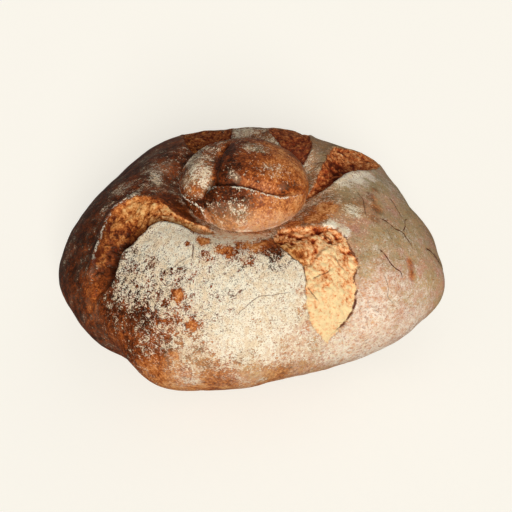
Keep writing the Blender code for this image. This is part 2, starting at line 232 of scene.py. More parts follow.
# The knot on the crown, a flattened ball slashed in a T. Lines on it are (azimuth, elevation).
knot = {
    "radii": (0.0463, 0.0450, 0.0275),
    "height": 0.112,
    "segments": 200,
    "rings": 108,
    "flapGroove": ((112, 50), (135, 62), (190, 63), (215, 52), (225, 41), (222, 30), (222, 20),
                   (228, 8), (236, -8), (241, -32)),
    "flapRim": ((108, 42), (139, 33), (154, 25), (168, 15), (176, 8), (187, 2), (207, 5), (221, 0),
                (227, -14), (232, -30)),
    "rollLip": ((-139, 28), (-133, 40), (-112, 48), (-92, 49), (-76, 44), (-66, 38), (-52, 30),
                (-35, 23), (-18, 13)),
    "domeRim": ((67, 48), (50, 37), (35, 29), (24, 22), (8, 19), (-10, 16)),
    "hem": ((-14, 10), (-20, 0), (-28, -16), (-40, -24), (-52, -28), (-65, -30), (-80, -25),
            (-94, -23), (-107, -27)),
    "flapDepth": 0.0076,
    "flapBanks": (0.0060, 0.0175),    # widths of a groove's banks, on its line's left and right
    "flapEnds": (0.15, 0.12),         # shares of a line's length over which it starts and ends
    "flapCrease": (0.0050, 0.0030),   # the crease's half-widths, on its line's left and right
    "flapEdge": 0.0020,               # how far right of its line the flap's own skin starts
    "rollDepth": 0.0056,
    "rollBanks": (0.0130, 0.0030),
    "rollEnds": (0.06, 0.35),
    "rollCrease": (0.0012, 0.0022),   # how far from the lip's line it lies, and its half-width
    "rollEar": (0.0016, 0.0016),      # how far the lip leans over the groove, and how high it stands
    "rollEarPlace": (0.0020, 0.0030),  # how far back it stands highest, and its half-width
    "rimHeight": 0.0012,
    "rimWidth": 0.0013,
    "rimEnds": (0.12, 0.05),
    # thin floured edges: line, how far to its right they run, how white they are
    # the hem's pale line is partly painted light on the knot's lower edge
    "whiteEdges": (("flapRim", 0.0, 0.85), ("rollLip", 0.0030, 0.78), ("domeRim", 0.0, 0.80),
                   ("hem", 0.0, 0.45)),
    "whiteWidth": (0.0015, 0.0032),   # half-widths where the white starts to fade, and where it ends
    "whiteEnds": (0.10, 0.15),
    "lumps": ((0.016, 0.0006), (0.0060, 0.00022)),
    "creaseLook": (0.7, 0.5, 0.22),   # less flour, less dust, darker in the creases: painted shade
    "shineFrom": 0.25,                # crust with less flour than this is silky
    "skinShift": (0.3, 0.0, 0.0),     # keeps the knot's flour from repeating the round's
}


def smoothStep(start, end, value):
    share = np.clip((value - start) / (end - start), 0.0, 1.0)
    return share * share * (3.0 - 2.0 * share)


def fadedEnds(along, first, last):
    # 1 along a line, easing to 0 over its first and last shares
    return smoothStep(0.0, first, along) * smoothStep(0.0, last, 1.0 - along)


def smoothCurve(points, steps=6, closed=False):
    # passes through all its points
    points = np.asarray(points, dtype=float)
    if closed:
        points = np.vstack([points[-1:], points, points[:2]])
    else:
        points = np.vstack([2 * points[0] - points[1], points, 2 * points[-1] - points[-2]])
    before, start, end, after = (points[i:len(points) - 3 + i, None, :] for i in range(4))
    t = (np.arange(steps) / steps)[None, :, None]
    curve = start + 0.5 * t * (end - before + t * (
        2 * before - 5 * start + 4 * end - after + t * (3 * (start - end) + after - before)))
    curve = curve.reshape(-1, points.shape[1])
    return curve if closed else np.vstack([curve, points[-2]])


def plainCrust(azimuth, fall):
    # the round before it has tears, swellings or a hollow; angles in radians
    reach = smoothCurve(np.array(loaf["waistReach"])[:, None], closed=True)[:, 0]
    turn = np.linspace(0.0, 2 * math.pi, len(reach), endpoint=False)
    reach = np.interp(azimuth, turn, reach, period=2 * math.pi)
    waist = loaf["waistHeight"] + loaf["waistTilt"] * np.cos(azimuth)
    lean, leanAzimuth = loaf["footLean"]
    oval, ovalAzimuth = loaf["footOval"]
    draw = loaf["footDraw"] + lean * np.cos(azimuth - math.radians(leanAzimuth))
    draw = draw + oval * np.cos(2 * (azimuth - math.radians(ovalAzimuth)))
    foot = reach * (1 - draw)
    rim = math.radians(loaf["baseRimFall"])
    upper = np.minimum(fall, math.pi / 2)
    lower = np.clip((fall - math.pi / 2) / (rim - math.pi / 2), 0.0, 1.0) * math.pi / 2
    base = np.clip((math.pi - fall) / (math.pi - rim), 0.0, 1.0)
    above = fall <= math.pi / 2
    radius = np.where(above, reach * np.sin(upper) ** loaf["shoulder"],
                      (foot + (reach - foot) * np.cos(lower)) * base)
    height = np.where(above, waist + (loaf["crownHeight"] - waist) * np.cos(upper),
                      waist * (1 - np.sin(lower)))
    return np.stack([radius * np.cos(azimuth), radius * np.sin(azimuth), height], axis=-1)


def outward(azimuth, fall):
    nudge = 0.001
    here = plainCrust(azimuth, fall)
    across = plainCrust(azimuth + nudge, fall) - here
    down = plainCrust(azimuth, fall + nudge) - here
    normal = np.cross(down, across)
    length = np.linalg.norm(normal, axis=-1, keepdims=True)
    straight = np.where(fall[:, None] < math.pi / 2, 1.0, -1.0) * np.array([[0.0, 0.0, 1.0]])
    return np.where(length > 1e-12, normal / np.maximum(length, 1e-12), straight)


def onCrust(places):
    places = np.radians(np.atleast_2d(places))
    return plainCrust(places[:, 0], places[:, 1])


def onKnot(places):
    places = np.radians(np.atleast_2d(places))
    level = np.cos(places[:, 1])
    way = [level * np.cos(places[:, 0]), level * np.sin(places[:, 0]), np.sin(places[:, 1])]
    return np.stack(way, axis=-1) * np.array(knot["radii"])


def follow(points, normals, line):
    # share of the way along the line, signed distance (plus on its left), and the line's left
    nearest = np.full(len(points), np.inf)
    along, across = np.zeros(len(points)), np.zeros(len(points))
    left = np.zeros_like(points)
    for index in range(len(line) - 1):
        step = line[index + 1] - line[index]
        share = np.clip((points - line[index]) @ step / (step @ step), 0.0, 1.0)
        offset = points - line[index] - share[:, None] * step
        distance = np.sqrt(np.einsum("ij,ij->i", offset, offset))
        closer = distance < nearest
        sideways = np.cross(normals[closer], step)
        sideways /= np.linalg.norm(sideways, axis=1, keepdims=True) + 1e-12
        nearest[closer] = distance[closer]
        along[closer] = (index + share[closer]) / (len(line) - 1)
        across[closer] = distance[closer] * np.sign(np.einsum("ij,ij->i", sideways, offset[closer]))
        left[closer] = sideways
    return along, across, left


def insideOutline(azimuth, fall, outline):
    # even-odd rule, in degrees, with azimuths unwrapped about the outline's middle
    middle = outline[:, 0].mean()
    turn = (np.degrees(azimuth) - middle + 180.0) % 360.0 - 180.0 + middle
    fall = np.degrees(fall)
    inside = np.zeros(len(turn), dtype=bool)
    for start, end in zip(outline, np.roll(outline, -1, axis=0)):
        if start[1] == end[1]:
            continue
        crosses = (start[1] > fall) != (end[1] > fall)
        edgeTurn = start[0] + (fall - start[1]) / (end[1] - start[1]) * (end[0] - start[0])
        inside ^= crosses & (turn < edgeTurn)
    return inside


def noiseOf(points, size, shift=0.0):
    # smooth noise between -1 and 1, with features of the given size; each shift is another pattern
    return np.array([noise.noise(place) for place in (points / size + shift).tolist()])


def crevicesOf(points):
    # 1 along the lines where flakes of crumb meet, 0 on the flakes
    found = np.empty(len(points))
    for index, place in enumerate((points / tornCrumb["flakeSize"]).tolist()):
        nearest, second = noise.voronoi(place)[0][:2]
        found[index] = 1.0 - min(1.0, tornCrumb["creviceNarrowness"] * (second - nearest))
    return found


def rowsAt(rows, along):
    stops, *columns = np.array(rows).T
    return [np.interp(along, stops, column) for column in columns]


def acrossAt(rows, along, place):
    # place runs from -1 at the right edge over 0 to 1 at the left edge
    left, middle, right = rowsAt(rows, along)
    return middle + 0.5 * (left - right) * place + (0.5 * (left + right) - middle) * place ** 2


def shapeTear(tear, points, normals, azimuth, fall, field):
    leftEdge, rightEdge = smoothCurve(tear["left"]), smoothCurve(tear["right"])
    middle = onCrust(leftEdge[len(leftEdge) // 2])
    index = np.flatnonzero(np.linalg.norm(points - middle, axis=1) < tornCrumb["widest"])
    spot, normal = points[index], normals[index]
    leftAlong, leftAcross, leftSide = follow(spot, normal, onCrust(leftEdge))
    rightAlong, rightAcross, rightSide = follow(spot, normal, onCrust(rightEdge))
    inside = insideOutline(azimuth[index], fall[index], np.vstack([leftEdge, rightEdge[::-1]]))
    leftFar, rightFar = np.abs(leftAcross), np.abs(rightAcross)
    depth = np.where(inside, 1.0, -1.0) * np.minimum(leftFar, rightFar)
    wide, narrow = tornCrumb["notches"]
    depth += loaf["raggedEdge"] * (noiseOf(spot, wide, 3.1) + 0.5 * noiseOf(spot, narrow, 7.7))
    # place runs from 1 at the left edge to -1 at the right one
    place = (rightFar - leftFar) / (rightFar + leftFar + 1e-9)
    along = 0.5 * (leftAlong + rightAlong)
    half = 0.5 * (leftFar + rightFar)
    bankTop, bankFoot = tornCrumb["bankShares"]
    steep = smoothStep(bankTop * tear["bank"], bankFoot * tear["bank"], depth)
    gentle = smoothStep(0.0, 1.0, depth / np.maximum(half, tornCrumb["narrowest"]))
    sunk = (1 - tear["bowl"]) * steep + tear["bowl"] * gentle
    height = acrossAt(tear["floor"], along, place) * sunk
    # crumb: swells, ridges and grains bent by noise, with crevices between some of the flakes
    crevices, fresh = rowsAt(tear["torn"], along)
    torn = depth > tornCrumb["crumbFrom"]
    crumb = spot[torn]
    bendSize, bend = tornCrumb["bend"]
    bent = crumb + bend * np.stack([noiseOf(crumb, bendSize, k) for k in (1.3, 5.9, 9.2)], axis=1)
    narrowness, crest = tornCrumb["ridgeForm"]
    ridges = 1.0 - narrowness * np.abs(noiseOf(bent, tornCrumb["ridgeSize"], 4.4))
    ridges = ridges.clip(0.0, 1.0) ** crest
    region = noiseOf(crumb, tornCrumb["creviceRegion"], 2.6)
    creviced = smoothStep(*tornCrumb["creviceEdge"], region)
    gap = crevicesOf(bent) * creviced * crevices[torn]
    swell, ridge, grain = tear["relief"]
    relief = swell * noiseOf(bent, tornCrumb["swellSize"], 6.1)
    relief += ridge * (2.0 * ridges - tornCrumb["troughDepth"])
    relief += grain * noiseOf(crumb, tornCrumb["grainSize"])
    height[torn] += steep[torn] * (relief - tornCrumb["creviceDepth"] * gap)
    # the crust's edge curls up and leans over the tear
    slide = np.zeros_like(spot)
    ends = smoothStep(*tornCrumb["leanStart"], along)
    ends *= smoothStep(*tornCrumb["leanEnd"], 1.0 - along)
    highest, halfWidth = tornCrumb["curl"]
    for across, side, inwards, (lean, curl) in (
            (leftFar, leftSide, -1.0, tear["ears"][0]), (rightFar, rightSide, 1.0, tear["ears"][1])):
        out = np.where(inside, 0.0, across)
        mine = np.where(across <= np.minimum(leftFar, rightFar) + 1e-9, 1.0, 0.0) * ends
        edge = mine * np.where(inside, 1.0 - steep, np.exp(-(out / tornCrumb["leanReach"]) ** 2))
        slide += side * (inwards * lean * edge)[:, None]
        curled = np.exp(-((out - highest) / halfWidth) ** 2)
        height += curl * mine * curled * np.where(inside, 1.0 - steep, 1.0)
    field["height"][index] += height
    field["slide"][index] += slide
    field["ridges"][index[torn]] = ridges * steep[torn]
    field["gap"][index[torn]] = np.maximum(field["gap"][index[torn]], gap)
    leftRim, rightRim = rowsAt(tear["rims"], along)
    rim = np.where(leftFar < rightFar, leftRim, rightRim)
    deeper = depth > field["tear"][index]
    looks = {"tone": acrossAt(tear["tone"], along, place), "rim": rim, "fresh": fresh,
             "rough": crevices, "tear": depth}
    for name, values in looks.items():
        field[name][index] = np.where(deeper, values, field[name][index])


def shapeRound(azimuth, fall):
    points, normals = plainCrust(azimuth, fall), outward(azimuth, fall)
    count = len(points)
    names = ("height", "gap", "tone", "ridges", "rim", "fresh", "rough", "crack", "crackDepth")
    field = {name: np.zeros(count) for name in names}
    field["slide"] = np.zeros((count, 3))
    field["tear"] = np.full(count, farFromEdge)
    for tear in tears.values():
        shapeTear(tear, points, normals, azimuth, fall, field)
    unevenSize, unevenShare = loaf["pitEdges"]
    uneven = 1.0 + unevenShare * noiseOf(points, unevenSize, 5.5)
    for pitAzimuth, pitFall, radius, depth in pits:
        distance = np.linalg.norm(points - onCrust((pitAzimuth, pitFall)), axis=1)
        near = np.exp(-(uneven * distance / radius) ** 2)
        near *= smoothStep(-loaf["pitFade"], loaf["pitFade"], field["tear"])
        field["height"] -= depth * near
        # a pit takes the crevices' painted shade, more of it
        field["gap"] = np.maximum(field["gap"], loaf["pitGap"] * near)
    straySize, stray = loaf["crackStray"]
    wander = stray * noiseOf(points, straySize, 2.2)
    for line, width, depth in cracks:
        along, across, _ = follow(points, normals, onCrust(smoothCurve(line)))
        ends = fadedEnds(along, *loaf["crackEnds"])
        strength = depth * ends * (1.0 - smoothStep(*loaf["crackDrawn"], np.abs(across)))
        stronger = strength > field["crackDepth"]
        field["crack"] = np.where(stronger, (across + wander) / width, field["crack"])
        field["crackDepth"] = np.maximum(field["crackDepth"], strength)
        dip = np.exp(-((across + wander) / loaf["crackHalfWidth"]) ** 2)
        field["height"] -= loaf["crackDip"] * width * depth * ends * dip
    for swellAzimuth, swellFall, spread, rise in loaf["swellings"]:
        distance = np.linalg.norm(points - onCrust((swellAzimuth, swellFall)), axis=1)
        field["height"] += rise * np.exp(-(distance / spread) ** 2)
    for size, rise in loaf["lumps"]:
        field["height"] += rise * noiseOf(points, size)
    aboveFoot = 1.0 - smoothStep(*np.radians(loaf["footCalm"]), fall)
    shaped = points + (normals * field["height"][:, None] + field["slide"]) * aboveFoot[:, None]
    depth, floorRadius, rimRadius = loaf["hollow"]
    radius = np.hypot(points[:, 0], points[:, 1])
    pressed = depth * (1.0 - smoothStep(floorRadius, rimRadius, radius))
    shaped[:, 2] -= np.where(fall < math.pi / 2, pressed, 0.0)
    return shaped, points, field


def shapeKnot(ways):
    radii = np.array(knot["radii"])
    points, normals = ways * radii, ways / radii
    normals /= np.linalg.norm(normals, axis=1, keepdims=True)
    # the slash beside the flap
    along, across, _ = follow(points, normals, onKnot(smoothCurve(knot["flapGroove"])))
    ends = fadedEnds(along, *knot["flapEnds"])
    bank = np.where(across > 0, *knot["flapBanks"])
    groove = 1.0 - smoothStep(0.0, 1.0, np.abs(across) / bank)
    height = -knot["flapDepth"] * ends * groove
    crease = ends * np.exp(-(across / np.where(across > 0, *knot["flapCrease"])) ** 2)
    flap = ends * smoothStep(0.0, knot["flapEdge"], -across)
    # the flap's thin raised rim
    rimAlong, rimAcross, _ = follow(points, normals, onKnot(smoothCurve(knot["flapRim"])))
    rim = fadedEnds(rimAlong, *knot["rimEnds"]) * np.exp(-(rimAcross / knot["rimWidth"]) ** 2)
    height += knot["rimHeight"] * rim
    # the slash across, and the roll's lip that leans over it
    lipAlong, lipAcross, lipSide = follow(points, normals, onKnot(smoothCurve(knot["rollLip"])))
    lipEnds = fadedEnds(lipAlong, *knot["rollEnds"])
    bank = np.where(lipAcross > 0, *knot["rollBanks"])
    groove = 1.0 - smoothStep(0.0, 1.0, np.abs(lipAcross) / bank)
    height -= knot["rollDepth"] * lipEnds * groove
    lean, stand = knot["rollEar"]
    back, halfWidth = knot["rollEarPlace"]
    onRoll = lipEnds * np.where(lipAcross > 0, 0.0, np.exp(-((-lipAcross - back) / halfWidth) ** 2))
    height += stand * onRoll
    slide = lipSide * (lean * onRoll)[:, None]
    ahead, halfWidth = knot["rollCrease"]
    crease = np.maximum(crease, lipEnds * np.exp(-((lipAcross - ahead) / halfWidth) ** 2))
    for size, rise in knot["lumps"]:
        height += rise * noiseOf(points, size, 6.6)
    edge, white = np.full(len(points), farFromEdge), np.zeros(len(points))
    for name, shift, amount in knot["whiteEdges"]:
        edgeAlong, edgeAcross, _ = follow(points, normals, onKnot(smoothCurve(knot[name])))
        away = edgeAcross + shift
        closer = np.abs(away) < np.abs(edge)
        edge = np.where(closer, away, edge)
        narrow = 1.0 - smoothStep(*knot["whiteWidth"], np.abs(away))
        mine = amount * fadedEnds(edgeAlong, *knot["whiteEnds"]) * narrow
        white = np.where(closer, mine, white)
    marks = {"crease": crease, "flap": flap, "edge": edge, "white": white}
    return points + normals * height[:, None] + slide, points, marks


# What lies on the crust: azimuth, fall, spread, clumped flour, thin dust, how dark it baked
# The highest bakes, on the round's left and back, are partly painted shade.
crustSpots = (
    (-98, 42, 0.018, 0.82, 0.15, 0.75), (-122, 38, 0.012, 0.84, 0.15, 0.75),
    (-72, 44, 0.014, 0.56, 0.10, 0.90), (-75, 58, 0.018, 0.92, 0.50, 0.50),
    (-95, 60, 0.020, 0.84, 0.20, 0.68), (-112, 62, 0.014, 0.50, 0.00, 0.74),
    (-128, 48, 0.014, 0.76, 0.05, 0.84), (-140, 45, 0.008, 0.85, 0.15, 0.75),
    (-143, 52, 0.010, 0.68, 0.15, 0.86), (-135, 38, 0.010, 0.84, 0.20, 0.70),
    (-140, 59, 0.010, 0.48, 0.05, 0.86), (-130, 62, 0.014, 0.52, -0.15, 0.84),
    (-121, 74, 0.014, 0.46, -0.15, 0.80), (-138, 70, 0.012, 0.31, -0.10, 0.84),
    (-130, 86, 0.014, 0.24, -0.20, 0.76), (-106, 80, 0.016, 0.52, 0.60, 0.40),
    # The whitest dust, low on the front right, is partly painted light.
    (-88, 74, 0.020, 0.80, 0.75, 0.38), (-70, 80, 0.018, 0.66, 1.00, 0.24),
    (-58, 92, 0.016, 0.54, 1.35, 0.20), (-88, 92, 0.014, 0.52, 1.15, 0.20),
    (-110, 94, 0.012, 0.40, 0.40, 0.20), (-120, 102, 0.014, 0.16, 0.00, 0.42),
    (-95, 106, 0.014, 0.32, 0.45, 0.20), (-70, 106, 0.016, 0.46, 1.00, 0.18),
    (-46, 106, 0.018, 0.34, 1.30, 0.22), (-150, 84, 0.022, 0.07, 0.05, 0.86),
    (-172, 70, 0.026, 0.10, 0.05, 0.94), (150, 64, 0.026, 0.12, 0.08, 0.90),
    (135, 56, 0.020, 0.14, 0.00, 0.82), (150, 36, 0.016, 0.20, 0.00, 0.82),
    (-168, 26, 0.010, 0.42, 0.10, 0.78), (176, 42, 0.014, 0.28, 0.00, 0.80),
    (140, 30, 0.016, 0.20, 0.05, 0.84), (88, 38, 0.020, 0.48, 0.22, 0.64),
    (60, 26, 0.014, 0.60, 0.50, 0.56), (8, 40, 0.018, 0.18, 0.95, 0.52),
    (-4, 35, 0.012, 0.26, 0.90, 0.52), (-12, 40, 0.010, 0.18, 0.40, 0.45),
    (-26, 38, 0.010, 0.20, 0.65, 0.45), (-14, 50, 0.014, 0.13, 0.85, 0.46),
    (-26, 54, 0.018, 0.12, 0.92, 0.44), (-12, 62, 0.018, 0.13, 0.95, 0.44),
    (-36, 66, 0.016, 0.18, 1.12, 0.26), (-46, 76, 0.016, 0.28, 1.25, 0.24),
    (-28, 78, 0.016, 0.16, 1.05, 0.34), (-30, 92, 0.016, 0.24, 1.25, 0.24),
    (-10, 86, 0.016, 0.12, 1.00, 0.42), (16, 62, 0.022, 0.12, 1.00, 0.46),
    (36, 80, 0.030, 0.08, 0.75, 0.52), (75, 70, 0.035, 0.12, 0.55, 0.56),
    (110, 80, 0.035, 0.10, 0.20, 0.70), (30, 34, 0.010, 0.10, 0.85, 0.50),
    (150, 100, 0.030, 0.06, 0.03, 0.80), (-160, 110, 0.030, 0.04, 0.00, 0.76),
    (-12, 102, 0.018, 0.08, 1.10, 0.42), (0, 120, 0.040, 0.10, 0.70, 0.44),
    (90, 115, 0.040, 0.12, 0.25, 0.58), (-90, 130, 0.038, 0.18, 0.05, 0.36),
    (0, 12, 0.030, 0.40, 0.30, 0.55),
)

# Small places that differ from what is round them, as what they add to it: the same columns
crustPatches = (
    # paler crust under the knot's front, floured; its paler bake is partly painted light that lifts
    # the knot's shadow there
    (-120, 29, 0.0070, 0.45, 0.20, -0.50), (-109, 29, 0.0080, 0.45, 0.00, -0.62),
    (-98, 29, 0.0080, 0.45, 0.00, -0.66), (-87, 29, 0.0070, 0.36, 0.00, -0.62),
    (-76, 29, 0.0060, 0.20, 0.00, -0.50),
    # the round's right and left shoulders, and the edge of the front burst
    (4, 33, 0.0080, 0.38, 0.30, -0.04), (9, 39, 0.0080, 0.36, 0.35, -0.06),
    (15, 45, 0.0080, 0.34, 0.35, -0.06), (-67, 57, 0.0040, -0.14, 0.10, -0.30),
    (-68, 64, 0.0045, -0.18, 0.10, -0.25), (-67, 72, 0.0045, -0.16, 0.10, -0.20),
    (-19, 38, 0.0072, 0.44, 0.20, 0.06), (-176, 40, 0.0080, 0.26, 0.15, 0.00),
    (-178, 50, 0.0060, 0.24, 0.12, 0.00), (158, 36, 0.0120, 0.22, 0.25, 0.00),
    (172, 46, 0.0100, 0.14, 0.20, 0.00), (140, 50, 0.0120, 0.10, 0.18, 0.00),
    # bare browned places along the top of the floured front
    (-115, 35, 0.0052, -0.80, -0.60, -0.55), (-122, 38, 0.0028, -0.55, -0.50, 0.00),
    (-103, 37, 0.0060, -0.44, -0.35, -0.24), (-97, 39, 0.0060, -0.36, -0.30, -0.06),
    (-92, 35, 0.0055, -0.38, -0.40, -0.14), (-84, 37, 0.0058, -0.36, -0.35, -0.28),
    (-76, 36, 0.0056, -0.30, -0.25, -0.10), (-70, 37, 0.0045, -0.36, -0.35, 0.02),
    (-110, 41, 0.0050, -0.26, -0.15, -0.05), (-88, 42, 0.0050, -0.24, -0.15, -0.05),
    (-97, 46, 0.0060, -0.16, -0.10, 0.00), (-74, 41, 0.0060, -0.18, -0.20, 0.05),
    (-90, 37, 0.0140, -0.16, 0.00, -0.10),
    # white edge at the top right of the front burst
    (-36, 37, 0.0050, 0.45, 0.70, -0.10), (-34, 41, 0.0050, 0.40, 0.60, -0.10),
    # bare places down the front's left, some browner and some paler
    (-150, 70, 0.0120, 0.00, 0.00, -0.22), (-116, 56, 0.0050, -0.45, -0.20, -0.35),
    (-108, 66, 0.0040, -0.40, -0.20, -0.30), (-146, 54, 0.0050, -0.20, 0.25, 0.10),
    (-132, 49, 0.0050, -0.25, 0.10, 0.10), (-124, 49, 0.0040, -0.30, 0.00, 0.05),
    (-128, 66, 0.0070, -0.15, -0.05, 0.06), (-118, 84, 0.0045, -0.15, -0.15, -0.16),
    (-112, 81, 0.0040, -0.20, -0.15, -0.16), (-128, 79, 0.0070, -0.15, -0.05, 0.06),
    (-135, 85, 0.0060, 0.00, 0.00, -0.25),
    # bare orange skin: low on the right lobe, beside the knot, and across the right shoulder
    (-22.8, 64, 0.0032, -0.20, -0.80, -0.05), (-24.4, 66.3, 0.0030, -0.10, -0.60, 0.00),
    (-26, 68.5, 0.0034, -0.20, -0.80, -0.05), (-25, 30, 0.0085, -0.20, -0.75, -0.33),
    (-36, 30, 0.0070, -0.30, -0.60, -0.33), (-48, 28, 0.0060, -0.30, -0.40, -0.20),
    (-2, 43, 0.0050, 0.00, -0.58, 0.08), (-9, 45, 0.0060, 0.00, -0.52, 0.10),
    (4, 45, 0.0035, 0.00, -0.58, 0.08), (-17, 45, 0.0045, 0.00, -0.46, 0.08),
    # the foot's front, and round the left burst
    (-105, 97, 0.0050, 0.35, 0.20, -0.20), (-103, 103, 0.0060, -0.10, 0.00, -0.25),
    (-96, 106, 0.0050, 0.00, 0.00, -0.20), (-84, 98, 0.0050, 0.25, 0.20, 0.00),
    # bare crust beside the knot's left, partly painted shade in the valley between the knot and the
    # left lobe
    (-157, 27, 0.0090, -0.50, -0.30, 0.05), (-170, 28, 0.0070, -0.40, -0.20, 0.05),
    (-140, 28, 0.0100, -0.50, -0.50, 0.15), (-125, 29, 0.0090, -0.60, -0.50, 0.00),
    (170, 33, 0.0060, 0.25, 0.10, 0.00), (-146, 76, 0.0080, -0.05, 0.00, -0.20),
)

# The same on the knot: azimuth, elevation, spread, clumped flour, thin dust, how dark it baked
knotSpots = (
    # The highest bakes, on the knot's left flank, are partly painted shade.
    (131, 73, 0.008, 0.08, -0.30, 0.90), (-157, 71, 0.008, 0.06, -0.30, 0.92),
    (-134, 56, 0.007, 0.08, -0.30, 0.86), (0, 78, 0.010, 0.20, -0.30, 0.62),
    (40, 45, 0.012, 0.14, -0.30, 0.40), (10, 35, 0.010, 0.06, -0.30, 0.28),
    (-25, 50, 0.010, 0.16, -0.30, 0.44), (-60, 62, 0.008, 0.12, -0.30, 0.56),
    (-112, 64, 0.006, 0.24, -0.30, 0.84), (-86, 54, 0.005, 0.00, -0.40, 0.40),
    (-64, 48, 0.006, 0.00, -0.40, 0.38), (-40, 36, 0.006, 0.08, 0.20, 0.86),
    (-28, 26, 0.006, 0.06, 0.15, 0.76), (-10, 20, 0.010, 0.04, -0.30, 0.32),
    (-126, 31, 0.007, 0.12, -0.40, 0.95), (-112, 37, 0.006, 0.14, -0.40, 0.98),
    (-98, 34, 0.007, 0.28, -0.10, 0.90), (-84, 30, 0.007, 0.22, 0.10, 0.70),
    (-112, 16, 0.008, 0.32, 0.30, 0.76), (-94, 12, 0.008, 0.30, 0.30, 0.62),
    (-72, 22, 0.009, 0.10, -0.05, 0.40), (-52, 14, 0.010, 0.06, 0.02, 0.28),
    (-36, 4, 0.010, 0.04, 0.00, 0.22), (-100, -4, 0.009, 0.26, 0.35, 0.38),
    # the whiter flour and dust low on the knot's front are partly painted light, where it curves
    # under into shade
    (-76, -2, 0.010, 0.18, 0.50, 0.16), (-86, -20, 0.010, 0.42, 0.95, 0.02),
    (-56, -14, 0.012, 0.18, 0.60, 0.02), (-116, -14, 0.010, 0.32, 0.35, 0.34),
    (-160, 30, 0.012, 0.56, 0.45, 0.45), (170, 25, 0.012, 0.48, 0.30, 0.60),
    (-150, 46, 0.008, 0.56, 0.45, 0.40), (140, 35, 0.012, 0.32, 0.10, 0.70),
    (-165, -10, 0.014, 0.08, -0.20, 0.80), (100, 10, 0.020, 0.24, 0.08, 0.64),
    (40, 0, 0.020, 0.16, 0.05, 0.60), (0, -10, 0.014, 0.10, 0.05, 0.36),
)
knotPatches = (
    (72, 75, 0.0070, 0.26, 0.55, 0.00), (28, 73, 0.0070, 0.24, 0.55, 0.00),
    (-35, 64, 0.0055, 0.20, 0.45, 0.00), (-23, 54, 0.0055, 0.20, 0.45, 0.00),
    (55, 55, 0.0060, 0.14, 0.15, -0.05), (-116, 62, 0.0050, 0.06, 0.45, 0.00),
    (-102, 58, 0.0045, 0.04, 0.45, 0.00), (-140, 10, 0.0050, -0.25, -0.20, 0.25),
    (-152, 26, 0.0050, -0.25, -0.30, 0.05), (175, 18, 0.0050, -0.30, -0.20, 0.10),
    # a floured hem low on the knot's front, partly painted light where it curves under into shade
    (-112, -30, 0.0070, 0.40, 0.70, -0.10), (-92, -30, 0.0080, 0.30, 0.80, -0.10),
    (-68, -30, 0.0090, 0.20, 0.80, -0.10), (-44, -26, 0.0090, 0.15, 0.70, -0.10),
    (-100, 28, 0.0060, 0.16, 0.20, 0.00), (-90, 18, 0.0070, 0.14, 0.05, 0.00),
)


# How a patch ends: the size of the notches in its edge, their share of its radius, and the shares of
# its radius between which it fades
patchEdge = {"notchSize": 0.004, "notchShare": 0.35, "fade": (0.40, 1.35)}


def layOn(points, onSurface, spots, patches):
    # flour, dust and bake between the spots, nearer spots counting for more; then the patches
    values = np.zeros((len(points), 3))
    total = np.full(len(points), 1e-12)
    for place, (_, _, spread, *amounts) in zip(onSurface([spot[:2] for spot in spots]), spots):
        distance = np.linalg.norm(points - place, axis=1)
        weight = spread ** 2 / (1.0 + (distance / spread) ** 2) ** 3
        total += weight
        values += weight[:, None] * np.array(amounts)
    values /= total[:, None]
    ragged = 1.0 + patchEdge["notchShare"] * noiseOf(points, patchEdge["notchSize"], 8.8)
    for place, (_, _, radius, *amounts) in zip(onSurface([patch[:2] for patch in patches]), patches):
        away = ragged * np.linalg.norm(points - place, axis=1) / radius
        near = 1.0 - smoothStep(*patchEdge["fade"], away)
        values += near[:, None] * np.array(amounts)
    return values.T


def makeBall(name, segments, rings):
    # a globe with single points at its poles; gives each point's turn and drop from the top
    turn = np.tile(np.arange(segments) * 2 * math.pi / segments - math.pi, rings - 1)
    drop = np.repeat(np.arange(1, rings) * math.pi / rings, segments)
    turn, drop = np.concatenate([[0.0], turn, [0.0]]), np.concatenate([[0.0], drop, [math.pi]])
    here = np.arange(segments)
    after = (here + 1) % segments
    last = len(turn) - 1
    faces = []
    for ring in range(rings - 2):
        upper, lower = 1 + ring * segments, 1 + (ring + 1) * segments
        corners = [upper + here, lower + here, lower + after, upper + after]
        faces += np.stack(corners, axis=1).tolist()
    faces += [[0, 1 + a, 1 + b] for a, b in zip(here.tolist(), after.tolist())]
    lowest = last - segments
    faces += [[last, lowest + b, lowest + a] for a, b in zip(here.tolist(), after.tolist())]
    mesh = bpy.data.meshes.new(name)
    mesh.from_pydata(np.zeros((len(turn), 3)).tolist(), [], faces)
    ball = bpy.data.objects.new(name, mesh)
    bpy.context.scene.collection.objects.link(ball)
    return ball, turn, drop


def setPoints(mesh, points):
    mesh.vertices.foreach_set("co", points.ravel())
    mesh.update()


def setFields(mesh, fields):
    for name, values in fields.items():
        kind, key = ("FLOAT_VECTOR", "vector") if values.ndim == 2 else ("FLOAT", "value")
        mesh.attributes.new(name, kind, "POINT").data.foreach_set(key, values.ravel())


def spreadColumns(azimuth):
    # evenly spaced azimuths crowd together where the tears are
    turn = np.radians(np.arange(-180.0, 180.01, 0.5))
    crowd = np.ones(len(turn))
    for centre, spread, extra in loaf["columnPlan"]:
        gap = (np.degrees(turn) - centre + 180.0) % 360.0 - 180.0
        crowd += extra * np.exp(-(gap / spread) ** 2)
    total = np.concatenate([[0.0], np.cumsum(0.5 * (crowd[1:] + crowd[:-1]))])
    return np.interp((azimuth + math.pi) / (2 * math.pi), total / total[-1], turn)


